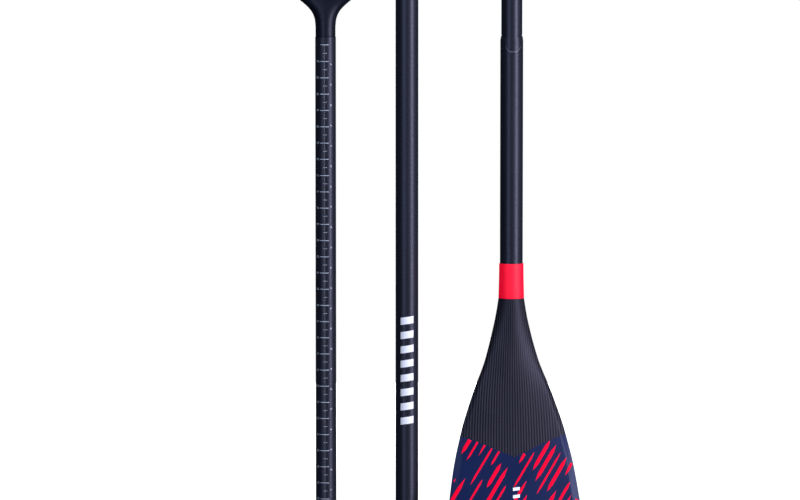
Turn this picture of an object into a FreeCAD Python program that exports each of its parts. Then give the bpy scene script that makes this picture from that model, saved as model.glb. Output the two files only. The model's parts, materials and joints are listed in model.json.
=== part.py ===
import FreeCAD, Part
import math
import os
import re
import Sketcher

# Three-section adjustable paddle, taken apart: handle section, middle section and blade
# section stand side by side, each with its shaft axis vertical. Millimetres, +Z up,
# origin at the centre of the middle shaft's lower end.

os.makedirs("parts", exist_ok=True)
doc = FreeCAD.newDocument("Paddle")
sheet = doc.addObject("Spreadsheet::Sheet", "Sizes")

SIZES = {
    # where the sections stand
    "handle_offset": -99.8,
    "blade_offset": 128.5,
    "blade_yaw": 7.0,
    # middle shaft
    "middle_length": 880.0,
    "middle_radius": 14.0,
    "socket_radius": 12.95,
    "socket_depth": 95.0,
    "plug_seat_radius": 12.5,
    "plug_seat_top": 135.0,
    "middle_bore": 13.15,
    "relief_slot_depth": 32.0,
    "relief_slot_width": 2.0,
    "button_hole_radius": 4.0,
    "button_above_seat": 60.0,
    # extension tube and grip
    "extension_bottom": 38.0,
    "extension_top": 799.6,
    "extension_radius": 12.7,
    "extension_bore": 11.5,
    "end_plug_bottom": 35.5,
    "end_plug_length": 20.0,
    "stem_bottom": 799.6,
    "spigot_bottom": 755.0,
    "palm_height": 868.0,
    "palm_half_width": 59.0,
    "palm_half_depth": 15.0,
    "palm_half_height": 26.0,
    # clamp
    "bush_bore": 12.78,
    "bush_radius": 14.52,
    "bush_bottom": 34.0,
    "bush_height": 24.0,
    "clamp_radius": 18.2,
    "clamp_height": 61.0,
    "clamp_socket_radius": 14.1,
    "clamp_socket_depth": 33.0,
    "clamp_seat_radius": 14.6,
    "clamp_lip_bottom": 58.4,
    "clamp_lip_radius": 13.1,
    "clamp_slit": 2.0,
    "ear_half_thickness": 7.2,
    "ear_reach": 25.0,
    "ear_round": 7.5,
    "ear_half_height": 11.0,
    "bolt_height": 33.0,
    "bolt_radius": 2.5,
    "bolt_hole_radius": 2.65,
    "bolt_eye_radius": 4.0,
    "bolt_eye_half_height": 3.7,
    "bolt_right_end": 15.5,
    "pivot_left": 14.0,
    "pin_radius": 2.0,
    "pin_eye_bore": 2.06,
    "saddle_thickness": 1.5,
    "lever_height": 18.0,
    "fork_half_gap": 4.1,
    "cam_radius": 4.5,
    "cam_throw": 0.5,
    "nut_start": 7.5,
    "nut_length": 6.5,
    "nut_radius": 7.6,
    "nut_bore": 2.56,
    "nut_flute_radius": 1.3,
    # ferrule
    "ferrule_radius": 12.9,
    "ferrule_root_radius": 12.5,
    "ferrule_bore": 11.4,
    "ferrule_bottom": 702.0,
    "ferrule_seat": 802.0,
    "ferrule_land_top": 854.0,
    "ferrule_lead_radius": 12.7,
    "ferrule_top": 892.0,
    "end_cap_rim": 3.0,
    "end_cap_chamfer": 1.2,
    "end_cap_spigot": 12.0,
    "end_cap_radius": 12.6,
    "collar_bottom": 786.2,
    "collar_tongue": 6.0,
    "collar_tongue_half_base": 10.4,
    "collar_tongue_half_tip": 4.9,
    "tongue_overlap": 2.0,
    "tongue_block_depth": 20.0,
    "collar_gap": 0.25,
    "collar_shoulder": 795.4,
    "collar_top": 800.6,
    "collar_top_radius": 13.2,
    "button_radius": 3.92,
    "button_reach": 16.4,
    "button_flange_radius": 5.0,
    "button_flange_outer": 10.1,
    "button_flange_thickness": 1.0,
    "button_chamfer": 1.2,
    "button_root": 0.1,
    "spring_half_width": 4.0,
    "spring_thickness": 0.8,
    "spring_arm": 6.0,
    "spring_knee": 0.5,
    "spring_rear_knee": 8.0,
    "spring_fold_bottom": 31.8,
    "spring_fold_top": 33.0,
    "spring_fold_front": 0.6,
    "spring_fold_rear": 2.6,
    "spring_fold_inner": 2.0,
    "spring_front_gap": 0.05,
    "spring_rear_gap": 0.85,
    # blade shaft, neck and blade
    "shaft_radius": 14.03,
    "shaft_bottom": 445.0,
    "neck_top": 478.0,
    "shaft_plug_bottom": 447.0,
    "shaft_plug_top": 477.0,
    "sleeve_top": 521.0,
    "sleeve_bottom_radius": 15.8,
    "sleeve_top_radius": 15.0,
    "cant_start": 455.0,
    "cant_slope": -0.1763,
    "cant_blend": 60.0,
    "skin_thickness": 1.0,
    "prism_half_depth": 130.0,
}

# Blade stations from the neck to the tip:
# height, outline half width, margin of the lens beyond it, half thickness.
LENS_STATIONS = (
    (478.0, 15.7, 0.0, 15.4),
    (462.0, 18.3, 0.0, 15.4),
    (450.0, 20.6, 0.0, 15.4),
    (437.5, 23.5, 0.0, 15.2),
    (425.0, 26.6, 0.0, 14.7),
    (412.6, 30.0, 0.0, 13.9),
    (400.0, 33.8, 0.0, 13.0),
    (387.5, 38.5, 0.3, 12.0),
    (375.0, 43.7, 0.8, 11.1),
    (362.0, 48.8, 1.2, 10.3),
    (349.4, 53.3, 1.5, 9.6),
    (330.3, 59.8, 1.9, 8.8),
    (311.2, 65.3, 2.4, 8.0),
    (273.0, 74.3, 3.2, 6.9),
    (222.4, 82.2, 4.0, 5.9),
    (185.0, 86.9, 4.3, 5.2),
    (150.0, 90.0, 4.5, 4.6),
    (115.0, 91.3, 4.6, 4.0),
    (60.0, 91.3, 4.6, 3.2),
    (20.0, 91.3, 4.6, 2.6),
    (-15.0, 91.3, 4.6, 2.3),
)

# Outline prism: height, half width. It stays clear of the round neck at the top.
OUTLINE_STATIONS = (
    (500.0, 24.0),
    (450.0, 26.0),
    (425.0, 30.5),
    (412.6, 32.6),
    (400.0, 34.9),
    (387.5, 38.6),
    (375.0, 43.7),
    (362.0, 48.8),
    (349.4, 53.3),
    (330.3, 59.8),
    (311.2, 65.3),
    (273.0, 74.3),
    (222.4, 82.2),
    (185.0, 86.9),
    (150.0, 90.0),
    (115.0, 91.3),
    (85.0, 90.0),
    (60.0, 86.3),
    (40.0, 80.3),
    (25.0, 72.5),
    (14.0, 63.0),
    (6.5, 51.5),
    (2.4, 38.5),
    (0.6, 27.0),
    (0.0, 17.0),
)

# Panel prism: height, half width. What lies between it and the outline is the edge rail.
PANEL_STATIONS = (
    (500.0, 26.0),
    (450.0, 28.0),
    (425.0, 32.0),
    (412.6, 34.5),
    (400.0, 36.3),
    (387.5, 38.0),
    (375.0, 41.2),
    (362.0, 44.6),
    (349.4, 47.9),
    (330.3, 53.2),
    (311.2, 58.1),
    (273.0, 66.5),
    (222.4, 74.2),
    (185.0, 78.9),
    (150.0, 82.0),
    (115.0, 83.3),
    (85.0, 81.7),
    (60.0, 77.4),
    (43.0, 71.5),
    (29.0, 63.5),
    (19.0, 54.0),
    (12.5, 43.5),
    (9.6, 31.0),
    (8.4, 21.0),
    (8.0, 13.0),
)

# Grip flare: height, half width, half depth.
FLARE_STATIONS = (
    (799.6, 12.24, 12.24),
    (812.0, 12.3, 12.26),
    (822.0, 13.4, 12.4),
    (828.0, 15.5, 12.6),
    (832.2, 18.0, 12.8),
    (837.1, 22.1, 12.9),
    (842.0, 27.6, 12.9),
    (844.5, 30.8, 12.8),
    (848.0, 34.8, 12.5),
    (852.0, 38.0, 12.0),
    (857.0, 40.0, 11.0),
)


def fill_sheet():
    """Write every size into the sheet, one row each, with its name as the alias."""
    tables = (
        ("lens", ("height", "half_width", "margin", "half_thickness"), LENS_STATIONS),
        ("outline", ("height", "half_width"), OUTLINE_STATIONS),
        ("panel", ("height", "half_width"), PANEL_STATIONS),
        ("flare", ("height", "half_width", "half_depth"), FLARE_STATIONS),
    )
    for name, fields, rows in tables:
        for index, row in enumerate(rows):
            for field, value in zip(fields, row):
                SIZES["%s_%s_%02d" % (name, field, index)] = value
    for row, (alias, value) in enumerate(SIZES.items(), start=1):
        sheet.set("A%d" % row, alias)
        sheet.set("B%d" % row, str(value))
        sheet.setAlias("B%d" % row, alias)
    doc.recompute()


def linked(expression):
    """Turn bare size names into references to the sheet."""
    def reference(match):
        word = match.group(0)
        return "Sizes." + word if word in SIZES else word
    return re.sub(r"[a-z_][a-z_0-9]*", reference, str(expression))


def value_of(expression):
    return float(sheet.evalExpression(linked(expression)))


def bind(item, **properties):
    """Bind properties to expressions; a double underscore stands for a dot."""
    for name, expression in properties.items():
        item.setExpression(name.replace("__", "."), linked(expression))
    return item


def add(kind, name, **properties):
    item = doc.addObject(kind, name)
    return bind(item, **properties)


def move(item, x="0", y="0", z="0"):
    bind(item, Placement__Base__x=x, Placement__Base__y=y, Placement__Base__z=z)
    return item


def box(name, low, high):
    """Box between two corners given as expressions."""
    item = add(
        "Part::Box",
        name,
        Length="(%s) - (%s)" % (high[0], low[0]),
        Width="(%s) - (%s)" % (high[1], low[1]),
        Height="(%s) - (%s)" % (high[2], low[2]),
    )
    return move(item, *low)


def rod(name, radius, low, high, axis="Z", at=("0", "0")):
    """Cylinder along an axis from low to high; at gives the other two coordinates in order."""
    item = add("Part::Cylinder", name, Radius=radius, Height="(%s) - (%s)" % (high, low))
    if axis == "Z":
        return move(item, at[0], at[1], low)
    if axis == "X":
        item.Placement.Rotation = FreeCAD.Rotation(FreeCAD.Vector(0, 1, 0), 90)
        return move(item, low, at[0], at[1])
    item.Placement.Rotation = FreeCAD.Rotation(FreeCAD.Vector(1, 0, 0), -90)
    return move(item, at[0], low, at[1])


def cut(name, base, *tools):
    for index, tool in enumerate(tools):
        result = doc.addObject("Part::Cut", "%s_cut_%d" % (name, index))
        result.Base = base
        result.Tool = tool
        base = result
    return base


def common(name, base, tool):
    result = doc.addObject("Part::Common", name + "_common")
    result.Base = base
    result.Tool = tool
    return result


def fuse(name, *shapes):
    result = doc.addObject("Part::MultiFuse", name + "_fuse")
    result.Shapes = list(shapes)
    result.Refine = True
    return result


def plane_of(body, role):
    for feature in body.Origin.OriginFeatures:
        if feature.Role == role:
            return feature
    raise RuntimeError("no plane " + role)


def closed_profile(sketch, corners):
    """Closed polygon whose corners are fixed to the sheet, each a pair of expressions."""
    points = [FreeCAD.Vector(value_of(x), value_of(y), 0) for x, y in corners]
    count = len(points)
    for index in range(count):
        sketch.addGeometry(Part.LineSegment(points[index], points[(index + 1) % count]), False)
    for index in range(count):
        sketch.addConstraint(Sketcher.Constraint("Coincident", index, 2, (index + 1) % count, 1))
    for index, corner in enumerate(corners):
        for kind, axis, expression in (("DistanceX", -2, corner[0]), ("DistanceY", -1, corner[1])):
            size = value_of(expression)
            if abs(size) < 1e-9:
                sketch.addConstraint(Sketcher.Constraint("PointOnObject", index, 1, axis))
                continue
            rule = sketch.addConstraint(Sketcher.Constraint(kind, -1, 1, index, 1, size))
            sketch.setExpression("Constraints[%d]" % rule, linked(expression))


def sketched_body(name, role, corners):
    body = doc.addObject("PartDesign::Body", name)
    sketch = body.newObject("Sketcher::SketchObject", name + "_profile")
    sketch.AttachmentSupport = [(plane_of(body, role), "")]
    sketch.MapMode = "FlatFace"
    closed_profile(sketch, corners)
    return body, sketch


def turned(name, corners):
    """Body of revolution about the shaft axis; corners are (radius, height) pairs."""
    body, sketch = sketched_body(name, "XZ_Plane", corners)
    revolution = body.newObject("PartDesign::Revolution", name + "_turn")
    revolution.Profile = sketch
    revolution.ReferenceAxis = (sketch, ["V_Axis"])
    revolution.Angle = 360
    body.Tip = revolution
    return body


def padded(name, role, corners, length, offset):
    """Body made by padding a polygon both ways about an offset plane."""
    body, sketch = sketched_body(name, role, corners)
    bind(sketch, AttachmentOffset__Base__z=offset)
    pad = body.newObject("PartDesign::Pad", name + "_pad")
    pad.Profile = sketch
    pad.Midplane = True
    bind(pad, Length=length)
    body.Tip = pad
    return body


def ring(name, inner, outer, bottom, top):
    return turned(name, ((inner, bottom), (outer, bottom), (outer, top), (inner, top)))


def disc(name, radius, bottom, top):
    return turned(name, (("0", bottom), (radius, bottom), (radius, top), ("0", top)))


def lofted(name, sections, ruled=False):
    loft = doc.addObject("Part::Loft", name)
    loft.Sections = sections
    loft.Solid = True
    loft.Ruled = ruled
    return loft


def cant(height):
    """Expression for how far behind the shaft's axis the blade's middle surface is at a height."""
    drop = "(cant_start - (%s))" % height
    return "(%s > 0 ? cant_slope * %s * %s / (%s + cant_blend) : 0)" % (drop, drop, drop, drop)


def lens(name, shrink):
    """Elliptical loft from the round neck to the thin blade, shrunk by the given amount."""
    sections = []
    for index in range(len(LENS_STATIONS)):
        height = "lens_height_%02d" % index
        ellipse = add(
            "Part::Ellipse",
            "%s_section_%02d" % (name, index),
            MajorRadius="lens_half_width_%02d + lens_margin_%02d - %s + 0.001" % (index, index, shrink),
            MinorRadius="lens_half_thickness_%02d - %s" % (index, shrink),
        )
        sections.append(move(ellipse, "0", cant(height), height))
    return lofted(name, sections)


def prism(name, table, stations):
    """Loft of rectangles that follows an outline and is deep enough to hold the blade."""
    sections = []
    for index in range(len(stations)):
        half_width = "%s_half_width_%02d" % (table, index)
        plane = add(
            "Part::Plane",
            "%s_section_%02d" % (name, index),
            Length="2 * " + half_width,
            Width="2 * prism_half_depth",
        )
        height = "%s_height_%02d" % (table, index)
        sections.append(move(plane, "-" + half_width, "-prism_half_depth", height))
    return lofted(name, sections, ruled=True)


def front_region(name):
    """Everything in front of the blade's middle surface."""
    sections = []
    for index in range(len(LENS_STATIONS)):
        height = "lens_height_%02d" % index
        plane = add(
            "Part::Plane",
            "%s_section_%02d" % (name, index),
            Length="2 * prism_half_depth",
            Width="prism_half_depth",
        )
        middle = "%s - prism_half_depth" % cant(height)
        sections.append(move(plane, "-prism_half_depth", middle, height))
    return lofted(name, sections, ruled=True)


fill_sheet()
pieces = []


def finish(item, label, offset="0", yaw=None):
    """Name a finished piece and stand it in its section's place."""
    item.Label = label
    if yaw is not None:
        item.Placement.Rotation = FreeCAD.Rotation(FreeCAD.Vector(0, 0, 1), value_of(yaw))
    bind(item, Placement__Base__x=offset)
    pieces.append(item)


# ---- middle section -----------------------------------------------------------------

middle_tube = turned("middle_tube", (
    ("socket_radius", "0"),
    ("middle_radius", "0"),
    ("middle_radius", "middle_length"),
    ("middle_bore", "middle_length"),
    ("middle_bore", "plug_seat_top"),
    ("plug_seat_radius", "plug_seat_top"),
    ("plug_seat_radius", "socket_depth"),
    ("socket_radius", "socket_depth"),
))
slot_low = ("-relief_slot_width / 2", "-middle_radius - 1", "middle_length - relief_slot_depth")
slot_high = ("relief_slot_width / 2", "middle_radius + 1", "middle_length + 1")
middle_hole = rod(
    "middle_button_hole", "button_hole_radius", "-middle_radius - 1", "0", "Y",
    ("0", "button_above_seat"),
)
finish(
    cut("mid_shaft", middle_tube, box("relief_slot", slot_low, slot_high), middle_hole),
    "mid_shaft",
)
finish(disc("middle_plug", "plug_seat_radius", "socket_depth", "plug_seat_top"), "mid_float_plug")

# ---- handle section -----------------------------------------------------------------

flare_sections = []
for station in range(len(FLARE_STATIONS)):
    section = add(
        "Part::Ellipse",
        "flare_section_%02d" % station,
        MajorRadius="flare_half_width_%02d + 0.001" % station,
        MinorRadius="flare_half_depth_%02d" % station,
    )
    flare_sections.append(move(section, "0", "0", "flare_height_%02d" % station))
palm = add(
    "Part::Ellipsoid", "palm",
    Radius1="palm_half_height", Radius2="palm_half_width", Radius3="palm_half_depth",
)
move(palm, "0", "0", "palm_height")
spigot = rod("grip_spigot", "extension_bore", "spigot_bottom", "stem_bottom + 2")
finish(fuse("grip", palm, lofted("grip_flare", flare_sections), spigot), "palm_grip", "handle_offset")
finish(
    ring("extension", "extension_bore", "extension_radius", "extension_bottom", "extension_top"),
    "extension_tube", "handle_offset",
)
finish(
    turned("extension_plug", (
        ("0", "end_plug_bottom"),
        ("extension_radius - 1", "end_plug_bottom"),
        ("extension_radius", "end_plug_bottom + 1"),
        ("extension_radius", "extension_bottom"),
        ("extension_bore", "extension_bottom"),
        ("extension_bore", "end_plug_bottom + end_plug_length"),
        ("0", "end_plug_bottom + end_plug_length"),
    )),
    "extension_end_plug", "handle_offset",
)

# ---- height clamp -------------------------------------------------------------------

finish(
    ring("bush", "bush_bore", "bush_radius", "bush_bottom", "bush_bottom + bush_height"),
    "clamp_bush", "handle_offset",
)

collar_ring = turned("clamp_ring", (
    ("clamp_socket_radius", "0.8"),
    ("clamp_socket_radius + 0.8", "0"),
    ("clamp_radius - 1", "0"),
    ("clamp_radius", "1"),
    ("clamp_radius", "clamp_height - 2.5"),
    ("clamp_radius - 2.5", "clamp_height"),
    ("clamp_lip_radius", "clamp_height"),
    ("clamp_lip_radius", "clamp_lip_bottom"),
    ("clamp_seat_radius", "clamp_lip_bottom"),
    ("clamp_seat_radius", "clamp_socket_depth"),
    ("clamp_socket_radius", "clamp_socket_depth"),
))
ear_block = box(
    "ear_block",
    ("-ear_half_thickness", "-ear_reach", "bolt_height - ear_half_height"),
    ("ear_half_thickness", "-clamp_radius + 2.5", "bolt_height + ear_half_height"),
)
ear_nose = box(
    "ear_nose",
    ("-ear_half_thickness", "-ear_reach - ear_round", "bolt_height - ear_half_height + ear_round"),
    ("ear_half_thickness", "-ear_reach + 1", "bolt_height + ear_half_height - ear_round"),
)
ear_rounds = [
    rod(
        "ear_round_%d" % index, "ear_round", "-ear_half_thickness", "ear_half_thickness", "X",
        ("-ear_reach", "bolt_height + %d * (ear_half_height - ear_round)" % side),
    )
    for index, side in enumerate((-1, 1))
]
collar_solid = fuse("clamp_collar_solid", collar_ring, ear_block, ear_nose, *ear_rounds)
slit = box(
    "clamp_slit_box",
    ("-clamp_slit / 2", "-ear_reach - ear_round - 1", "-1"),
    ("clamp_slit / 2", "0", "clamp_height + 1"),
)
bolt_at = ("-ear_reach", "bolt_height")
bolt_hole = rod(
    "clamp_bolt_hole", "bolt_hole_radius", "-ear_half_thickness - 1", "ear_half_thickness + 1", "X",
    bolt_at,
)
finish(cut("clamp_collar", collar_solid, slit, bolt_hole), "clamp_collar", "handle_offset")

pivot_at = ("-pivot_left", "-ear_reach")
eye = rod(
    "bolt_eye", "bolt_eye_radius", "bolt_height - bolt_eye_half_height",
    "bolt_height + bolt_eye_half_height", "Z", pivot_at,
)
shank = rod("bolt_shank", "bolt_radius", "-pivot_left", "bolt_right_end", "X", bolt_at)
eye_hole = rod("bolt_eye_hole", "pin_eye_bore", "bolt_height - 10", "bolt_height + 10", "Z", pivot_at)
finish(cut("clamp_bolt", fuse("bolt", eye, shank), eye_hole), "clamp_bolt", "handle_offset")

saddle_plate = box(
    "saddle_plate",
    ("-ear_half_thickness - saddle_thickness", "-ear_reach - 6", "bolt_height - 9"),
    ("-ear_half_thickness", "-ear_reach + 6", "bolt_height + 9"),
)
saddle_hole = rod(
    "saddle_hole", "bolt_hole_radius", "-ear_half_thickness - 3", "-ear_half_thickness + 1", "X",
    bolt_at,
)
finish(cut("cam_saddle", saddle_plate, saddle_hole), "cam_saddle", "handle_offset")

lever_arm = padded("lever_arm", "XY_Plane", (
    ("-pivot_left + 1.5", "-ear_reach + 3.2"),
    ("-pivot_left + 0.5", "-ear_reach + 7.0"),
    ("-clamp_radius - 2.6", "-ear_reach + 14.5"),
    ("-clamp_radius - 2.9", "4"),
    ("-clamp_radius - 4.6", "15"),
    ("-clamp_radius - 7.2", "23.5"),
    ("-clamp_radius - 10.0", "22.7"),
    ("-clamp_radius - 7.6", "14"),
    ("-clamp_radius - 6.2", "3.5"),
    ("-clamp_radius - 6.0", "-ear_reach + 13.5"),
    ("-pivot_left - 4.2", "-ear_reach + 1"),
    ("-pivot_left - 3.0", "-ear_reach - 3.0"),
), "lever_height", "bolt_height")
cam = rod(
    "lever_cam", "cam_radius", "bolt_height - lever_height / 2", "bolt_height + lever_height / 2",
    "Z", ("-pivot_left + cam_throw", "-ear_reach"),
)
fork_gap = box(
    "lever_fork_gap",
    ("-pivot_left - 5.5", "-ear_reach - 6", "bolt_height - fork_half_gap"),
    ("-pivot_left + 6", "-ear_reach + 5.5", "bolt_height + fork_half_gap"),
)
lever_hole = rod("lever_pin_hole", "pin_radius", "bolt_height - 15", "bolt_height + 15", "Z", pivot_at)
finish(
    cut("clamp_lever", fuse("lever", lever_arm, cam), fork_gap, lever_hole),
    "clamp_lever", "handle_offset",
)
finish(
    rod(
        "lever_pivot", "pin_radius", "bolt_height - lever_height / 2 - 0.4",
        "bolt_height + lever_height / 2 + 0.4", "Z", pivot_at,
    ),
    "lever_pivot_pin",
)
pieces[-1].setExpression("Placement.Base.x", linked("handle_offset - pivot_left"))

nut_blank = rod("nut_blank", "nut_radius", "nut_start", "nut_start + nut_length", "X", bolt_at)
nut_cuts = [rod("nut_thread", "nut_bore", "nut_start - 1", "nut_start + nut_length + 1", "X", bolt_at)]
FLUTES = 10
for flute in range(FLUTES):
    turn = "360 / %d * %d" % (FLUTES, flute)
    nut_cuts.append(rod(
        "nut_flute_%d" % flute, "nut_flute_radius", "nut_start - 1", "nut_start + nut_length + 1", "X",
        (
            "-ear_reach + (nut_radius + 0.4) * cos(%s)" % turn,
            "bolt_height + (nut_radius + 0.4) * sin(%s)" % turn,
        ),
    ))
finish(cut("clamp_nut", nut_blank, *nut_cuts), "clamp_nut", "handle_offset")

# ---- blade section: ferrule, button and shaft ---------------------------------------

ferrule = turned("ferrule_blank", (
    ("ferrule_bore", "ferrule_bottom"),
    ("ferrule_root_radius", "ferrule_bottom"),
    ("ferrule_root_radius", "ferrule_seat"),
    ("ferrule_radius", "ferrule_seat"),
    ("ferrule_radius", "ferrule_land_top"),
    ("ferrule_lead_radius", "ferrule_land_top"),
    ("ferrule_lead_radius", "ferrule_top"),
    ("ferrule_bore", "ferrule_top"),
))
button_height = "ferrule_seat + button_above_seat"
ferrule_hole = rod(
    "ferrule_button_hole", "button_hole_radius", "-ferrule_radius - 1", "0", "Y", ("0", button_height),
)
finish(cut("ferrule_tube", ferrule, ferrule_hole), "ferrule_tube", "blade_offset", "blade_yaw")
finish(
    turned("ferrule_cap", (
        ("0", "ferrule_top - end_cap_spigot"),
        ("ferrule_bore", "ferrule_top - end_cap_spigot"),
        ("ferrule_bore", "ferrule_top"),
        ("end_cap_radius", "ferrule_top"),
        ("end_cap_radius", "ferrule_top + end_cap_rim - end_cap_chamfer"),
        ("end_cap_radius - end_cap_chamfer", "ferrule_top + end_cap_rim"),
        ("0", "ferrule_top + end_cap_rim"),
    )),
    "ferrule_end_cap", "blade_offset", "blade_yaw",
)

button_stem = rod(
    "button_stem", "button_radius", "-button_reach + button_chamfer",
    "-button_flange_outer + button_root", "Y", ("0", button_height),
)
button_tip = add(
    "Part::Cone", "button_tip",
    Radius1="button_radius", Radius2="button_radius - button_chamfer", Height="button_chamfer",
)
button_tip.Placement.Rotation = FreeCAD.Rotation(FreeCAD.Vector(1, 0, 0), 90)
move(button_tip, "0", "-button_reach + button_chamfer", button_height)
button_flange = rod(
    "button_flange", "button_flange_radius", "-button_flange_outer",
    "-button_flange_outer + button_flange_thickness", "Y", ("0", button_height),
)
finish(
    fuse("button", button_stem, button_tip, button_flange),
    "snap_button", "blade_offset", "blade_yaw",
)

leaf_front = "-button_flange_outer + button_flange_thickness + spring_front_gap"
leaf_rear = "ferrule_bore - spring_rear_gap"
spring = padded("spring_leaf", "YZ_Plane", (
    (leaf_front, button_height + " + spring_arm"),
    (leaf_front + " + spring_thickness", button_height + " + spring_arm"),
    (leaf_front + " + spring_thickness", button_height + " - spring_arm"),
    ("0", "ferrule_seat + spring_fold_top"),
    ("spring_fold_inner", "ferrule_seat + spring_fold_top"),
    (leaf_rear + " - spring_thickness", button_height + " - spring_rear_knee"),
    (leaf_rear + " - spring_thickness", button_height + " + spring_arm"),
    (leaf_rear, button_height + " + spring_arm"),
    (leaf_rear, button_height + " - spring_rear_knee - spring_knee"),
    ("spring_fold_rear", "ferrule_seat + spring_fold_bottom"),
    ("-spring_fold_front", "ferrule_seat + spring_fold_bottom"),
    (leaf_front, button_height + " - spring_arm - spring_knee"),
), "2 * spring_half_width", "0")
finish(spring, "button_spring", "blade_offset", "blade_yaw")


def tongue(name, drop):
    """Trapezoid block on the front half, used for the collar's tongue and its seat."""
    return padded(name, "XZ_Plane", (
        ("-collar_tongue_half_base - %s" % drop, "collar_bottom"),
        ("-collar_tongue_half_tip - %s" % drop, "collar_bottom - collar_tongue - %s" % drop),
        ("collar_tongue_half_tip + %s" % drop, "collar_bottom - collar_tongue - %s" % drop),
        ("collar_tongue_half_base + %s" % drop, "collar_bottom"),
        ("collar_tongue_half_base + %s" % drop, "collar_bottom + tongue_overlap"),
        ("-collar_tongue_half_base - %s" % drop, "collar_bottom + tongue_overlap"),
    ), "tongue_block_depth", "tongue_block_depth / 2")


collar_main = turned("collar_main", (
    ("ferrule_root_radius", "collar_bottom"),
    ("shaft_radius", "collar_bottom"),
    ("shaft_radius", "collar_shoulder"),
    ("collar_top_radius", "collar_top"),
    ("ferrule_root_radius", "collar_top"),
))
collar_skirt = ring(
    "collar_skirt", "ferrule_root_radius", "shaft_radius", "collar_bottom - collar_tongue",
    "collar_bottom + tongue_overlap / 2",
)
finish(
    fuse("collar", collar_main, common("collar_tongue", collar_skirt, tongue("tongue_shape", "0"))),
    "ferrule_collar", "blade_offset", "blade_yaw",
)
shaft_blank = ring(
    "blade_shaft_blank", "ferrule_root_radius", "shaft_radius", "shaft_bottom",
    "collar_bottom - collar_gap",
)
finish(
    cut("blade_shaft", shaft_blank, tongue("tongue_seat", "collar_gap")),
    "blade_shaft", "blade_offset", "blade_yaw",
)
finish(
    disc("shaft_plug", "ferrule_root_radius", "shaft_plug_bottom", "shaft_plug_top"),
    "shaft_float_plug", "blade_offset", "blade_yaw",
)
finish(
    turned("neck_ring", (
        ("shaft_radius", "neck_top"),
        ("sleeve_bottom_radius", "neck_top"),
        ("sleeve_top_radius", "sleeve_top"),
        ("shaft_radius", "sleeve_top"),
    )),
    "neck_sleeve", "blade_offset", "blade_yaw",
)

# ---- blade --------------------------------------------------------------------------

outline = prism("outline_prism", "outline", OUTLINE_STATIONS)
panel = prism("panel_prism", "panel", PANEL_STATIONS)
front = front_region("front_region")
neck_bore = rod("neck_bore", "shaft_radius", "shaft_bottom", "neck_top + 1")
blade_solid = common("blade_solid", lens("blade_form", "0"), outline)
panel_solid = common("panel_solid", blade_solid, panel)
core_solid = common("core_solid", lens("core_form", "skin_thickness"), panel)

finish(cut("edge_rail", blade_solid, panel), "blade_edge_rail", "blade_offset", "blade_yaw")
finish(cut("core", core_solid, neck_bore), "blade_core", "blade_offset", "blade_yaw")
shell = cut("blade_shell", panel_solid, core_solid)
finish(
    cut("front_skin", common("front_shell", shell, front), neck_bore),
    "blade_front_skin", "blade_offset", "blade_yaw",
)
finish(
    cut("back_skin", shell, front, neck_bore),
    "blade_back_skin", "blade_offset", "blade_yaw",
)

# ---- check and write ----------------------------------------------------------------

doc.recompute()
for item in doc.Objects:
    if "Invalid" in item.State or "Error" in item.State:
        raise RuntimeError("%s is %s" % (item.Name, item.State))
for piece in pieces:
    shape = piece.Shape
    if shape.isNull() or not shape.isValid():
        raise RuntimeError(piece.Label + " has no valid shape")
    size = shape.BoundBox
    print("%-20s solids %d  volume %10.1f  x %7.1f %7.1f  y %7.1f %7.1f  z %7.1f %7.1f" % (
        piece.Label, len(shape.Solids), shape.Volume,
        size.XMin, size.XMax, size.YMin, size.YMax, size.ZMin, size.ZMax,
    ))
    shape.exportStep("parts/%s.step" % piece.Label)
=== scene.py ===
"""Looks for the three-section paddle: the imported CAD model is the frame, metres, +Z up."""

import json
import math
import random

import bpy
import numpy as np
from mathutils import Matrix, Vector


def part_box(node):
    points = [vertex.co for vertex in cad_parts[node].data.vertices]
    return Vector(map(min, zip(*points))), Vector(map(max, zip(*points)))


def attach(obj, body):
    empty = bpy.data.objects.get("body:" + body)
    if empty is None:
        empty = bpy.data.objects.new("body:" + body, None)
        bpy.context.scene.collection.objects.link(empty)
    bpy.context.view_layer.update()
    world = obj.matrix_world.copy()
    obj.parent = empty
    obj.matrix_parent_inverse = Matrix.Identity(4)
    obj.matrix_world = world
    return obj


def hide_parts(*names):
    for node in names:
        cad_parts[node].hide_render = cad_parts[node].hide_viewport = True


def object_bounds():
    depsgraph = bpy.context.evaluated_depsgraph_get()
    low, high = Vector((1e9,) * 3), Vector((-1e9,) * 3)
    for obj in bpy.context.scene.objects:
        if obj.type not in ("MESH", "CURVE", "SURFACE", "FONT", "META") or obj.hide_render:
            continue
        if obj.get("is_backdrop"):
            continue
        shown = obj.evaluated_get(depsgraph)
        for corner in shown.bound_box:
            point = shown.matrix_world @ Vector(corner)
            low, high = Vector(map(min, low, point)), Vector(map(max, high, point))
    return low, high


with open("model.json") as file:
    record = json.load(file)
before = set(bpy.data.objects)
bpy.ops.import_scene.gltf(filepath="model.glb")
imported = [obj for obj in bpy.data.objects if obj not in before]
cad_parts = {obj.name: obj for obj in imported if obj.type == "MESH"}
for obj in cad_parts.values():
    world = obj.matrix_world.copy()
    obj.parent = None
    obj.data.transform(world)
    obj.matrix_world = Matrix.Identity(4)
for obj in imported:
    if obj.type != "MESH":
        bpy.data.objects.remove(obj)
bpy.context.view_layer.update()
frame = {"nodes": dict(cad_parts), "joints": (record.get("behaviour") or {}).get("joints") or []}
nodes = frame["nodes"]
MM = 0.001


# ---- where the sections stand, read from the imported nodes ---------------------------

def middle_of(node):
    low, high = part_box(node)
    return (low + high) / 2


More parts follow.
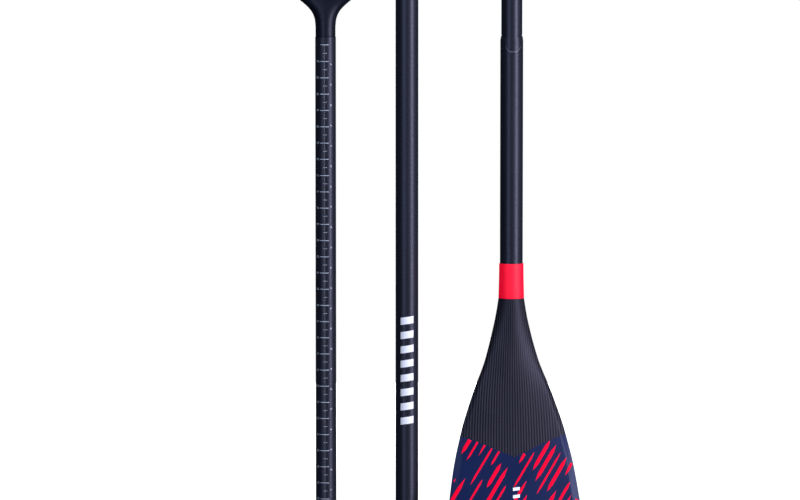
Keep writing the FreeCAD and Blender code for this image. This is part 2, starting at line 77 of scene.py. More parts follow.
HANDLE_X = middle_of("extension_tube").x
BLADE_X = middle_of("neck_sleeve").x
MIDDLE_RADIUS = (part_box("mid_shaft")[1].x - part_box("mid_shaft")[0].x) / 2
TUBE_RADIUS = (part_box("extension_tube")[1].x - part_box("extension_tube")[0].x) / 2
PRESS_AXIS = next(j for j in frame["joints"] if j["name"] == "button_press")["axis"]
BLADE_YAW = math.atan2(-PRESS_AXIS[0], PRESS_AXIS[1])


# ---- node graphs --------------------------------------------------------------------

class Graph:
    """A material's node tree with short ways to add the nodes used here."""

    def __init__(self, name, **shader):
        self.material = bpy.data.materials.new(name)
        self.material.use_nodes = True
        self.tree = self.material.node_tree
        self.shader = self.tree.nodes["Principled BSDF"]
        for socket, value in shader.items():
            self.set(socket.replace("_", " "), value)

    def set(self, socket, value):
        self.feed(self.shader.inputs[socket], value)

    def feed(self, socket, value):
        if isinstance(value, bpy.types.NodeSocket):
            self.tree.links.new(value, socket)
        elif isinstance(value, tuple) and len(value) == 3 and socket.type == "RGBA":
            socket.default_value = (*value, 1)
        else:
            socket.default_value = value

    def node(self, kind, **settings):
        made = self.tree.nodes.new(kind)
        for name, value in settings.items():
            setattr(made, name, value)
        return made

    def math(self, operation, a, b=0.0, c=0.0):
        made = self.node("ShaderNodeMath", operation=operation)
        for socket, value in zip(made.inputs, (a, b, c)):
            self.feed(socket, value)
        return made.outputs[0]

    def mix(self, factor, a, b):
        made = self.node("ShaderNodeMix", data_type="RGBA")
        self.feed(made.inputs[0], factor)
        self.feed(made.inputs[6], a)
        self.feed(made.inputs[7], b)
        return made.outputs[2]

    def blend(self, factor, a, b):
        return self.math("MULTIPLY_ADD", factor, self.math("SUBTRACT", b, a), a)

    def place(self, location=(0, 0, 0), turn=0.0, scale=(1, 1, 1)):
        """Object coordinates seen from a section's own axis."""
        mapping = self.node("ShaderNodeMapping", vector_type="TEXTURE")
        mapping.inputs["Location"].default_value = location
        mapping.inputs["Rotation"].default_value = (0, 0, turn)
        mapping.inputs["Scale"].default_value = scale
        self.tree.links.new(self.node("ShaderNodeTexCoord").outputs["Object"], mapping.inputs[0])
        return mapping.outputs[0]

    def split(self, vector):
        made = self.node("ShaderNodeSeparateXYZ")
        self.feed(made.inputs[0], vector)
        return made.outputs

    def noise(self, vector, scale, detail=3.0, roughness=0.55):
        made = self.node("ShaderNodeTexNoise")
        self.feed(made.inputs["Vector"], vector)
        made.inputs["Scale"].default_value = scale
        made.inputs["Detail"].default_value = detail
        made.inputs["Roughness"].default_value = roughness
        return made.outputs[0]

    def steps(self, value, low, high):
        """0 below low, 1 above high, smooth between."""
        made = self.node("ShaderNodeMapRange", interpolation_type="SMOOTHSTEP")
        self.feed(made.inputs[0], value)
        made.inputs[1].default_value = low
        made.inputs[2].default_value = high
        return made.outputs[0]

    def bump(self, height, distance, strength=1.0):
        made = self.node("ShaderNodeBump")
        made.inputs["Strength"].default_value = strength
        made.inputs["Distance"].default_value = distance
        self.feed(made.inputs["Height"], height)
        self.set("Normal", made.outputs[0])


CARBON_DARK = (0.0066, 0.0076, 0.0130)
CARBON_LIGHT = (0.0122, 0.0136, 0.0220)
LACQUER_TINT = (0.77, 0.77, 1.0)


def carbon_tube(name, axis_x, radius, tow=1.5 * MM):
    """Twill-woven carbon under a satin lacquer, the weave wrapped round the tube's own axis."""
    g = Graph(name, Specular_IOR_Level=0.34, Specular_Tint=LACQUER_TINT)
    x, y, z = g.split(g.place((axis_x, 0, 0)))
    count = 4 * round(2 * math.pi * radius / tow / 4)
    around = g.math("MULTIPLY", g.math("ARCTAN2", y, x), count / (2 * math.pi))
    along = g.math("MULTIPLY", z, 1 / tow)
    diagonal = g.math("ADD", g.math("FLOOR", around), g.math("FLOOR", along))
    over = g.math("LESS_THAN", g.math("FLOORED_MODULO", diagonal, 4.0), 1.5)
    crown_warp = g.math("ABSOLUTE", g.math("SINE", g.math("MULTIPLY", around, math.pi)))
    crown_weft = g.math("ABSOLUTE", g.math("SINE", g.math("MULTIPLY", along, math.pi)))
    crown = g.blend(over, crown_warp, crown_weft)
    cloud = g.noise(g.place(scale=(0.03, 0.03, 0.12)), 1.0, 4.0)
    # The over tows get the lighter colour: painted sheen for the different way warp and weft catch the
    # light. The cloud is the carbon's own variation of tone.
    tone = g.math("ADD", g.math("MULTIPLY", over, 0.30), g.math("MULTIPLY", cloud, 0.6))
    g.set("Base Color", g.mix(tone, CARBON_DARK, CARBON_LIGHT))
    rough = g.math("ADD", g.math("MULTIPLY", over, 0.02), g.math("MULTIPLY", cloud, 0.10))
    g.set("Roughness", g.math("ADD", rough, 0.35))
    g.bump(crown, 0.02 * MM, 0.04)
    return g.material


def moulded(name, dark, light, rough=0.5, grain=0.35 * MM, depth=0.02 * MM, **shader):
    """Moulded plastic or rubber: fine grain, slow variation of tone, scuffed patches."""
    g = Graph(name, **shader)
    place = g.place()
    cloud = g.noise(place, 26.0, 4.0)
    fine = g.noise(place, 1 / grain, 2.0)
    g.set("Base Color", g.mix(cloud, dark, light))
    g.set("Roughness", g.math("ADD", g.math("MULTIPLY", cloud, 0.16), rough - 0.08))
    g.bump(fine, depth, 0.6)
    return g.material


def metal(name, dark, light, rough, grain_scale=(1.0, 1.0, 0.02)):
    """Metal with fine brushing lines; grain_scale stretches the noise across the lines."""
    g = Graph(name, Metallic=1.0)
    lines = g.noise(g.place(scale=grain_scale), 900.0, 3.0)
    cloud = g.noise(g.place(), 60.0, 3.0)
    g.set("Base Color", g.mix(cloud, dark, light))
    g.set("Roughness", g.math("ADD", g.math("MULTIPLY", lines, 0.18), rough - 0.09))
    g.bump(lines, 0.01 * MM, 0.4)
    return g.material


# ---- blade shape in its own frame: x across, y towards the back, z up, metres --------

OUTLINE = np.array([
    (15.7, 478.0), (18.3, 462.0), (20.6, 450.0), (23.5, 437.5), (26.6, 425.0), (30.0, 412.6),
    (33.8, 400.0), (38.5, 387.5), (43.7, 375.0), (48.8, 362.0), (53.3, 349.4), (59.8, 330.3),
    (65.3, 311.2), (74.3, 273.0), (82.2, 222.4), (86.9, 185.0), (90.0, 150.0), (91.3, 115.0),
    (90.0, 85.0), (86.3, 60.0), (80.3, 40.0), (72.5, 25.0), (63.0, 14.0), (51.5, 6.5),
    (38.5, 2.4), (27.0, 0.6), (17.0, 0.0),
]) * MM
THICKNESS = np.array([
    (478.0, 15.4), (445.0, 15.4), (437.5, 15.2), (425.0, 14.7), (412.6, 13.9), (400.0, 13.0),
    (387.5, 12.0), (375.0, 11.1), (362.0, 10.3), (349.4, 9.6), (330.3, 8.8), (311.2, 8.0),
    (273.0, 6.9), (222.4, 5.9), (185.0, 5.2), (150.0, 4.6), (115.0, 4.0), (60.0, 3.2),
    (20.0, 2.6), (0.0, 2.4),
]) * MM
CANT_START = 455 * MM
CANT_SLOPE = -0.1763
CANT_BLEND = 60 * MM
EDGE_HALF = 1.2 * MM
BEVEL_HEIGHTS = np.array([150.0, 253.0, 312.0, 345.0, 373.0, 400.0]) * MM
BEVEL_WIDTHS = np.array([8.0, 7.0, 5.0, 4.2, 2.4, 0.8]) * MM
BEVEL_ROUND = 2.6 * MM
RAIL_TOP = 405 * MM
RAIL_DEPTH = 4.0 * MM
SKIN_WALL = 0.8 * MM
FRONT_CROWN = 0.50
BACK_CROWN = 0.28
RIDGE_DROP = 0.62
RIDGE_POWER = 16
NECK_START = 472 * MM
NECK_BLEND = 50 * MM
FLAT_BLEND = 55 * MM
CREASE = math.radians(40)


def spline_through(points, per_span=12):
    """Catmull-Rom curve through 2-D points."""
    padded = np.vstack([2 * points[0] - points[1], points, 2 * points[-1] - points[-2]])
    out = []
    for i in range(1, len(padded) - 2):
        p0, p1, p2, p3 = padded[i - 1:i + 3]
        for t in np.linspace(0, 1, per_span, endpoint=False):
            out.append(0.5 * (
                2 * p1 + (p2 - p0) * t + (2 * p0 - 5 * p1 + 4 * p2 - p3) * t ** 2
                + (3 * p1 - p0 - 3 * p2 + p3) * t ** 3
            ))
    out.append(points[-1])
    return np.array(out)


EDGE = spline_through(OUTLINE)
EDGE_LOOP = np.vstack([EDGE, EDGE[::-1] * (-1, 1)])
THICK = spline_through(THICKNESS)


def half_width(z):
    return np.interp(z, EDGE[::-1, 1], EDGE[::-1, 0])


def lean(z):
    drop = np.maximum(CANT_START - z, 0)
    return CANT_SLOPE * drop * drop / (drop + CANT_BLEND)


def to_edge(x, z):
    """Distance from points to the outline."""
    points = np.stack([x, z], -1)[:, None, :]
    a, b = EDGE_LOOP[:-1], EDGE_LOOP[1:]
    ab = b - a
    t = np.clip(((points - a) * ab).sum(-1) / ((ab ** 2).sum(-1) + 1e-18), 0, 1)
    return np.sqrt((((a + t[..., None] * ab) - points) ** 2).sum(-1)).min(1)


def smooth(t):
    t = np.clip(t, 0, 1)
    return t * t * (3 - 2 * t)


def shoulder(d, z):
    """Share of the thickness reached at a distance from the edge: a flat bevel, then a rounding."""
    flat = np.interp(z, BEVEL_HEIGHTS, BEVEL_WIDTHS)
    over = np.clip((d - flat) / BEVEL_ROUND, 0, 1)
    reach = np.minimum(d, flat) + BEVEL_ROUND * (over - over ** 2 / 2)
    return reach / (flat + BEVEL_ROUND / 2)


def half_depth(x, z, crown):
    """Half thickness: round at the neck, a soft ridge below it, then nearly flat with a bevel."""
    thick = np.interp(z, THICK[::-1, 0], THICK[::-1, 1])
    across = np.clip(np.abs(x) / half_width(z), 0, 1)
    round_part = thick * np.sqrt(1 - across ** 2)
    ridge_part = thick * (1 - RIDGE_DROP * across ** 2) * np.sqrt(1 - across ** RIDGE_POWER)
    neck_share = smooth((NECK_START - z) / NECK_BLEND)
    neck_part = (1 - neck_share) * round_part + neck_share * ridge_part
    face = thick * (1 - crown * across ** 2)
    flat_part = EDGE_HALF + (face - EDGE_HALF) * shoulder(to_edge(x, z), z)
    share = smooth((RAIL_TOP - z) / FLAT_BLEND)
    return (1 - share) * neck_part + share * flat_part


def front_y(x, z):
    return lean(z) - half_depth(x, z, FRONT_CROWN)


def back_y(x, z):
    return lean(z) + half_depth(x, z, BACK_CROWN)


def in_row(x, y, z):
    """Blade section's own coordinates to the row frame."""
    c, s = math.cos(BLADE_YAW), math.sin(BLADE_YAW)
    return np.stack([BLADE_X + x * c - y * s, x * s + y * c, z], -1)


# ---- mesh helpers -------------------------------------------------------------------

def mesh_object(name, verts, faces, material, body, smooth_shading=True):
    mesh = bpy.data.meshes.new(name)
    mesh.from_pydata([tuple(v) for v in verts], [], faces)
    mesh.update()
    ob = bpy.data.objects.new(name, mesh)
    bpy.context.scene.collection.objects.link(ob)
    mesh.materials.append(material)
    if smooth_shading:
        mesh.polygons.foreach_set("use_smooth", [True] * len(mesh.polygons))
    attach(ob, body)
    return ob


def solidify(ob, thickness, offset):
    modifier = ob.modifiers.new("wall", "SOLIDIFY")
    modifier.thickness = thickness
    modifier.offset = offset


def turned_mesh(name, axis_x, profile, material, body, segments=96):
    """Surface of revolution about a section's axis; profile is a closed list of (radius, z)."""
    verts, faces = [], []
    rows = len(profile)
    for i in range(segments):
        a = 2 * math.pi * i / segments
        for r, z in profile:
            verts.append((axis_x + r * math.sin(a), -r * math.cos(a), z))
    for i in range(segments):
        j = (i + 1) % segments
        for k in range(rows):
            n = (k + 1) % rows
            faces.append((i * rows + k, j * rows + k, j * rows + n, i * rows + n))
    return mesh_object(name, verts, faces, material, body)


# ---- materials ----------------------------------------------------------------------

middle_carbon = carbon_tube("carbon_middle", 0.0, MIDDLE_RADIUS)
handle_carbon = carbon_tube("carbon_handle", HANDLE_X, TUBE_RADIUS)
blade_carbon = carbon_tube("carbon_blade_shaft", BLADE_X, MIDDLE_RADIUS, 1.2 * MM)
grip_plastic = moulded("grip_plastic", (0.0030, 0.0040, 0.0082), (0.0050, 0.0064, 0.0120), 0.42,
                       0.5 * MM, 0.010 * MM, Specular_IOR_Level=0.24, Specular_Tint=LACQUER_TINT)
clamp_plastic = moulded("clamp_plastic", (0.010, 0.010, 0.012), (0.022, 0.022, 0.026), 0.5)
nylon = moulded("nylon", (0.58, 0.57, 0.53), (0.70, 0.69, 0.65), 0.45, Subsurface_Weight=0.05)
foam = moulded("foam", (0.60, 0.57, 0.48), (0.74, 0.71, 0.62), 0.9, 0.8 * MM, 0.2 * MM)
rubber = moulded("seal_rubber", (0.010, 0.010, 0.011), (0.020, 0.020, 0.022), 0.75)
steel = metal("stainless", (0.50, 0.50, 0.51), (0.66, 0.66, 0.67), 0.28)
anodised = metal("anodised", (0.030, 0.030, 0.034), (0.060, 0.060, 0.068), 0.34, (0.02, 1.0, 1.0))
# Red glow given to the sleeve and the dashes: painted light that brightens the red, though neither part
# is a lamp.
PAINTED_LIGHT_RED = (1.0, 0.0, 0.03)
sleeve_red = moulded("sleeve_red", (0.70, 0.000, 0.016), (0.84, 0.001, 0.026), 0.60, 0.6 * MM,
                     0.012 * MM, Specular_IOR_Level=0.35, Emission_Color=PAINTED_LIGHT_RED,
                     Emission_Strength=0.45)
ink = moulded("scale_ink", (0.36, 0.42, 0.50), (0.52, 0.57, 0.64), 0.6, 0.2 * MM)
line_ink = moulded("line_ink", (0.10, 0.095, 0.09), (0.17, 0.16, 0.15), 0.6, 0.2 * MM)
# Light line on the collar's edge: a painted highlight.
seam_painted_highlight = moulded("seam_painted_highlight", (0.110, 0.116, 0.160), (0.140, 0.148, 0.200), 0.5)
mark_ink = moulded("mark_ink", (0.72, 0.74, 0.80), (0.86, 0.88, 0.92), 0.5, 0.3 * MM)
# The dashes' red also glows with this painted light.
stroke_red = moulded("stroke_red", (0.70, 0.000, 0.018), (0.90, 0.000, 0.030), 0.60, 0.4 * MM,
                     0.01 * MM, Specular_IOR_Level=0.05, Emission_Color=PAINTED_LIGHT_RED,
                     Emission_Strength=0.25)

NAVY_DARK = (0.0030, 0.0092, 0.0450)
NAVY_LIGHT = (0.0048, 0.0124, 0.0600)
STRIPE_DARK = (0.0015, 0.0019, 0.0050)
STRIPE_LIGHT = (0.0360, 0.0335, 0.0440)
PRINT_BASE = 0.2805
PRINT_RISE = 0.036
PRINT_SPAN = 0.150
# The print's upper edge: share of PRINT_SPAN across, share of PRINT_RISE above PRINT_BASE.
PRINT_ARMS = (
    (0.0, 0.850), (0.14, 0.735), (0.50, 0.100), (0.62, 0.320), (0.76, 0.590), (0.90, 0.790),
    (1.0, 0.860),
)
STRIPE_PITCH = 3.45 * MM


def shape_curve(curve, points):
    """Set a float curve's points; it starts with two."""
    for index, (at, value) in enumerate(points):
        if index < 2:
            curve.points[index].location = (at, value)
        else:
            curve.points.new(at, value)


def blade_finish(name):
    """Pinstriped carbon above the V-shaped edge of the print, navy below it."""
    g = Graph(name, Specular_IOR_Level=0.20, Specular_Tint=LACQUER_TINT)
    x, y, z = g.split(g.place((BLADE_X, 0, 0), BLADE_YAW))
    # Pinstripes fan out from the neck: how wide the stripe field is at each height.
    spread = g.node("ShaderNodeFloatCurve")
    g.feed(spread.inputs["Value"], g.math("DIVIDE", z, 0.5))
    fan = ((0.0, 1.0), (0.55, 1.0), (0.70, 0.93), (0.80, 0.80), (0.90, 0.66), (1.0, 0.60))
    shape_curve(spread.mapping.curves[0], fan)
    spread.mapping.update()
    across = g.math("DIVIDE", x, spread.outputs[0])
    waver = g.math("MULTIPLY", g.noise(g.place(scale=(0.05, 0.05, 0.5)), 1.0, 2.0), 0.0012)
    phase = g.math("MULTIPLY", g.math("ADD", across, waver), 2 * math.pi / STRIPE_PITCH)
    wave = g.math("ADD", g.math("MULTIPLY", g.math("SINE", phase), 0.5), 0.5)
    stripe = g.steps(wave, 0.25, 0.80)
    patch = g.noise(g.place(scale=(0.02, 0.02, 0.05)), 1.0, 4.0)
    strand = g.noise(g.place(scale=(0.0006, 0.0006, 0.02)), 1.0, 3.0)
    stripe_tone = g.math("MULTIPLY", stripe, g.math("ADD", g.math("MULTIPLY", patch, 0.8), 0.45))
    woven = g.mix(stripe_tone, STRIPE_DARK, STRIPE_LIGHT)
    speckle = g.math("MULTIPLY", strand, 0.30)
    woven = g.mix(speckle, woven, CARBON_DARK)
    navy = g.mix(patch, NAVY_DARK, NAVY_LIGHT)
    # The print's upper edge, a shallow V whose right arm bows upwards.
    edge = g.node("ShaderNodeFloatCurve")
    curve = edge.mapping.curves[0]
    shape_curve(curve, PRINT_ARMS)
    for point in curve.points:
        point.handle_type = "AUTO_CLAMPED" if point.location[0] > 0.55 else "VECTOR"
    edge.mapping.update()
    g.feed(edge.inputs["Value"], g.math("ADD", g.math("DIVIDE", x, PRINT_SPAN), 0.5))
    limit = g.math("ADD", g.math("MULTIPLY", edge.outputs[0], PRINT_RISE), PRINT_BASE)
    printed = g.steps(g.math("SUBTRACT", limit, z), -0.15 * MM, 0.15 * MM)
    g.set("Base Color", g.mix(printed, woven, navy))
    woven_rough = g.math("ADD", g.math("MULTIPLY", stripe, 0.05), 0.48)
    navy_rough = g.math("ADD", g.math("MULTIPLY", patch, 0.1), 0.36)
    g.set("Roughness", g.blend(printed, woven_rough, navy_rough))
    g.bump(g.math("MULTIPLY", wave, g.math("SUBTRACT", 1.0, printed)), 0.015 * MM, 0.5)
    return g.material


blade_print = blade_finish("blade_print")


# ---- blade skins, core and rail -----------------------------------------------------

TIP_ROWS = (0.0, 0.15, 0.5, 1.1, 2.0, 3.2, 4.8, 6.8, 9.2, 12, 15.5, 19.5, 24, 29, 35, 41)
ROWS = np.concatenate([TIP_ROWS, np.arange(46, 478, 4.0), [478.0]]) * MM
spread = np.linspace(-1, 1, 105)
COLUMNS = np.sign(spread) * (1 - (1 - np.abs(spread)) ** 1.3)


def closed_grid(name, outer, inner, rows, columns, material, flip):
    """Closed shell between two grids of points, with crisp borders."""
    faces = []
    shift = rows * columns

    def add(a, b, c, d):
        faces.append((d, c, b, a) if flip else (a, b, c, d))

    for i in range(rows - 1):
        for j in range(columns - 1):
            k = i * columns + j
            add(k, k + 1, k + columns + 1, k + columns)
            add(k + shift, k + columns + shift, k + columns + 1 + shift, k + 1 + shift)
    for i in range(rows - 1):
        k = i * columns
        add(k, k + columns, k + columns + shift, k + shift)
        k += columns - 1
        add(k, k + shift, k + columns + shift, k + columns)
    for j in range(columns - 1):
        k = j
        add(k, k + shift, k + 1 + shift, k + 1)
        k += (rows - 1) * columns
        add(k, k + 1, k + 1 + shift, k + shift)
    ob = mesh_object(name, np.vstack([outer, inner]), faces, material, "blade_section")
    ob.data.set_sharp_from_angle(angle=CREASE)
    return ob


def blade_grid(surface, inset=0.0):
    """Grid of points on one face, pulled inwards by an inset."""
    z = np.repeat(ROWS, len(COLUMNS))
    x = half_width(z) * np.tile(COLUMNS, len(ROWS))
    y = surface(x, z)
    if inset:
        middle = lean(z)
        depth = np.maximum(np.abs(y - middle) - inset, 0.05 * MM)
        y = middle + np.sign(y - middle) * depth
    return in_row(x, y, z)


for name, surface, flip in (("front", front_y, False), ("back", back_y, True)):
    skin = closed_grid(
        "skin_" + name, blade_grid(surface), blade_grid(surface, SKIN_WALL), len(ROWS), len(COLUMNS),
        blade_print, flip,
    )
    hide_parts("blade_%s_skin" % name)


CORE_ROWS, CORE_COLUMNS = 60, 41
CORE_BOTTOM, CORE_TOP = 3.0, 476.0
CORE_EDGE_GAP = 2.5 * MM
CORE_FACE_GAP = 1.5 * MM
CORE_LEAST_WIDTH = 8 * MM
CORE_LEAST_DEPTH = 0.3 * MM


def core_grid(surface):
    """Grid of points on the foam core's face, inside the skin and the rail."""
    z = np.repeat(np.linspace(CORE_BOTTOM, CORE_TOP, CORE_ROWS) * MM, CORE_COLUMNS)
    half = np.maximum(half_width(z) - CORE_EDGE_GAP, CORE_LEAST_WIDTH)
    x = half * np.tile(np.linspace(-1, 1, CORE_COLUMNS), CORE_ROWS)
    middle = lean(z)
    y = surface(x, z)
    depth = np.maximum(np.abs(y - middle) - CORE_FACE_GAP, CORE_LEAST_DEPTH)
    return in_row(x, middle + np.sign(y - middle) * depth, z)


core = closed_grid(
    "core", core_grid(front_y), core_grid(back_y), CORE_ROWS, CORE_COLUMNS, foam, False,
)
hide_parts("blade_core")


def rail_path():
    """Outline from the rail's left end round the tip to its right end."""
    down = np.array([(-half_width(z), z) for z in ROWS[::-1] if z < RAIL_TOP])
    tip = np.array([(half_width(0.0) * c, 0.0) for c in COLUMNS[1:-1]])
    return np.vstack([down, tip, down[::-1] * (-1, 1)])


path = rail_path()
along = np.gradient(path, axis=0)
along /= np.linalg.norm(along, axis=1)[:, None]
inner_path = path + np.stack([-along[:, 1], along[:, 0]], -1) * RAIL_DEPTH
edge_half = half_depth(path[:, 0], path[:, 1], 0.0)
section = []
for line, sign, share in ((path, -1, 1.0), (path, 1, 1.0), (inner_path, 1, 0.9), (inner_path, -1, 0.9)):
    section.append(in_row(line[:, 0], lean(line[:, 1]) + sign * share * edge_half, line[:, 1]))
count = len(path)
rail_faces = []
for i in range(count - 1):
    for k in range(4):
        m = (k + 1) % 4
        rail_faces.append((k * count + i, m * count + i, m * count + i + 1, k * count + i + 1))
rail_faces.append((3 * count, 2 * count, count, 0))
rail_faces.append((count - 1, 2 * count - 1, 3 * count - 1, 4 * count - 1))
rail = mesh_object("edge_rail", np.vstack(section), rail_faces, blade_print, "blade_section")
rail.data.set_sharp_from_angle(angle=CREASE)
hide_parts("blade_edge_rail")


# ---- printed dashes on the blade ----------------------------------------------------

def inside(x, z, margin=0.35 * MM):
    x, z = np.atleast_1d(x), np.atleast_1d(z)
    ok = (z > 0.5 * MM) & (np.abs(x) < half_width(z) - margin)
    return ok & (to_edge(x, z) > margin)


def print_edge(x):
    """Height of the print's upper edge at x, the same V as in the blade's finish."""
    at, value = np.array(PRINT_ARMS).T
    return np.interp(x, (at - 0.5) * PRINT_SPAN, value * PRINT_RISE + PRINT_BASE)


DASH_SLANT = math.radians(58)
DASH_WAY = np.array([math.cos(DASH_SLANT), math.sin(DASH_SLANT)])
DASH_SIDE = np.array([-DASH_WAY[1], DASH_WAY[0]])
LANE_PITCH = 9.5 * MM
LANES_EACH_SIDE = 22
LANE_HALF_LENGTH = 230 * MM
BLADE_MIDDLE = np.array([0.0, 160.0]) * MM
DASH_LENGTHS = (26, 70)
DASH_GAPS = (10, 30)
DASH_WIDTHS = (2.4, 3.4, 4.4)
DASH_TAPER = 0.25
DASH_STEP = 1.6 * MM
DASH_LIFT = 0.04 * MM
PRINT_THICKNESS = 0.03 * MM


def dash(start, length, width):
    """A plain straight dash with tapered ends, from start along the dashes' common slant."""
    t = np.linspace(0, 1, max(8, int(length / DASH_STEP)))
    half = width / 2 * smooth(t / DASH_TAPER) * smooth((1 - t) / DASH_TAPER)
    line = start + np.outer(t * length, DASH_WAY)
    reach = np.outer(half, DASH_SIDE)
    return list(zip(line + reach, line - reach))


def ribbon(pairs, lift, side):
    """Verts and faces of a dash laid on the blade, cut off where it leaves the print."""
    verts, faces = [], []
    previous = None
    for a, b in pairs:
        if np.linalg.norm(a - b) < 0.12 * MM:
            previous = None
            continue
        row = np.linspace(a, b, 4)
        x, z = row[:, 0], row[:, 1]
        if not inside(x, z).all() or (z > print_edge(x) + 0.4 * MM).any():
            previous = None
            continue
        y = front_y(x, z) - lift if side == "front" else back_y(x, z) + lift
        base = len(verts)
        verts.extend(in_row(x, y, z))
        if previous is not None:
            for k in range(3):
                quad = (previous + k, previous + k + 1, base + k + 1, base + k)
                faces.append(quad if side == "front" else quad[::-1])
        previous = base
    return verts, faces


def dashes_object(name, outlines, side):
    """One object from all the dashes on a face, without points that no face uses."""
    verts, faces = [], []
    for pairs in outlines:
        v, f = ribbon(pairs, DASH_LIFT, side)
        faces.extend(tuple(k + len(verts) for k in q) for q in f)
        verts.extend(v)
    used = sorted({k for face in faces for k in face})
    order = {k: i for i, k in enumerate(used)}
    verts = [verts[k] for k in used]
    faces = [tuple(order[k] for k in face) for face in faces]
    ob = mesh_object(name, verts, faces, stroke_red, "blade_section")
    solidify(ob, PRINT_THICKNESS, 1.0)


def dashes(seed, side):
    """Parallel lanes of dashes over the print, in seeded random lengths."""
    rng = random.Random(seed)
    out = []
    for lane in range(-LANES_EACH_SIDE, LANES_EACH_SIDE + 1):
        along = -LANE_HALF_LENGTH
        while along < LANE_HALF_LENGTH:
            length = rng.uniform(*DASH_LENGTHS) * MM
            width = rng.choice(DASH_WIDTHS) * MM
            start = BLADE_MIDDLE + lane * LANE_PITCH * DASH_SIDE + along * DASH_WAY
            out.append(dash(start, length, width))
            along += length + rng.uniform(*DASH_GAPS) * MM
    dashes_object("strokes_" + side, out, side)


dashes(7, "front")
dashes(19, "back")


# ---- prints on the tubes ------------------------------------------------------------

class TubePrint:
    """Thin shapes wrapped on a tube's front; s runs right along the wall from the front line."""

    def __init__(self, axis_x, radius):
        self.axis_x, self.radius = axis_x, radius
        self.verts, self.faces = [], []

    def point(self, s, z):
        a = s / self.radius
        return (self.axis_x + self.radius * math.sin(a), -self.radius * math.cos(a), z)

    def patch(self, s0, s1, z0, z1, slant=0.0):
        pieces = max(1, int(abs(s1 - s0) / (0.8 * MM)))
        base = len(self.verts)
        for i in range(pieces + 1):
            s = s0 + (s1 - s0) * i / pieces
            shift = slant * i / pieces
            self.verts.append(self.point(s, z0 + shift))
            self.verts.append(self.point(s, z1 + shift))
        for i in range(pieces):
            k = base + 2 * i
            self.faces.append((k, k + 2, k + 3, k + 1))

    def glyphs(self, text, s0, z0, height):
        width = height * 0.62
        for index, character in enumerate(text):
            for face in DIGITS[character]:
                base = len(self.verts)
                for x, y in face:
                    self.verts.append(self.point(s0 + index * width + x * height, z0 + y * height))
                self.faces.append(tuple(range(base, base + len(face))))

    def build(self, name, material, body):
        ob = mesh_object(name, self.verts, self.faces, material, body, False)
        solidify(ob, 0.02 * MM, 1.0)


def digit_faces():
    """Outlines of the digits 0 to 9 as faces one unit high."""
    out = {}
    for character in "0123456789":
        text = bpy.data.curves.new("digit", "FONT")
        text.body = character
        text.resolution_u = 2
        ob = bpy.data.objects.new("digit", text)
        bpy.context.scene.collection.objects.link(ob)
        mesh = bpy.data.meshes.new_from_object(ob.evaluated_get(bpy.context.evaluated_depsgraph_get()))
        top = max(v.co.y for v in mesh.vertices)
        out[character] = [
            [(mesh.vertices[k].co.x / top, mesh.vertices[k].co.y / top) for k in p.vertices]
            for p in mesh.polygons
        ]
        bpy.data.objects.remove(ob)
        bpy.data.meshes.remove(mesh)
        bpy.data.curves.remove(text)
    return out


DIGITS = digit_faces()
LIFT = 0.03 * MM
SCALE_TOP = 790.4 * MM
SCALE_END = 100 * MM
FIRST_LONG = 769.9 * MM
FIRST_RIGHT = 765.2 * MM
FIRST_SMALL = 776.0 * MM
LONG_PITCH = 20 * MM
RIGHT_PITCH = 25 * MM
SMALL_PITCH = 12.5 * MM


def down_from(top, step):
    """Heights from top down to the scale's end, one every step."""
    z = top
    while z > SCALE_END:
        yield z
        z -= step


def tick(wall, left, right, z, half):
    """A tick across a tube print's wall, all in millimetres but its height z."""
    wall.patch(left * MM, right * MM, z - half * MM, z + half * MM)


centimetres = TubePrint(HANDLE_X, TUBE_RADIUS + LIFT)
tick(centimetres, -6.1, 4.0, SCALE_TOP, 0.35)
for index, z in enumerate(down_from(FIRST_LONG, LONG_PITCH)):
    tick(centimetres, -7.4, 4.0, z, 0.35)
    centimetres.glyphs(str(178 + 2 * index), -13.8 * MM, z - 1.2 * MM, 2.6 * MM)
for z in down_from(FIRST_LONG + LONG_PITCH / 2, LONG_PITCH):
    tick(centimetres, -3.0, 1.9, z, 0.2)
for index, z in enumerate(down_from(FIRST_RIGHT, RIGHT_PITCH)):
    centimetres.glyphs(str(70 + index), 5.5 * MM, z, 2.1 * MM)
centimetres.build("height_scale", ink, "handle_section")

centre_line = TubePrint(HANDLE_X, TUBE_RADIUS + LIFT)
centre_line.patch(-1.35 * MM, -0.85 * MM, SCALE_END, SCALE_TOP - 0.4 * MM)
for z in down_from(FIRST_SMALL, SMALL_PITCH):
    tick(centre_line, -2.6, -1.35, z, 0.25)
centre_line.build("scale_line", line_ink, "handle_section")

# Plain slanted bars up the middle shaft, the last one ending at MARK_TOP.
MARK_TOP, MARK_BOTTOM, MARKS = 457 * MM, 322 * MM, 8
MARK_SHARE, MARK_SLANT = 0.5, 0.14
mark_pitch = (MARK_TOP - MARK_BOTTOM) / (MARKS - 1 + MARK_SHARE + MARK_SLANT)
marks = TubePrint(0.0, MIDDLE_RADIUS + LIFT)
for index in range(MARKS):
    low = MARK_BOTTOM + index * mark_pitch
    marks.patch(-8.2 * MM, 8.6 * MM, low, low + MARK_SHARE * mark_pitch, MARK_SLANT * mark_pitch)
marks.build("shaft_marks", mark_ink, "mid_section")

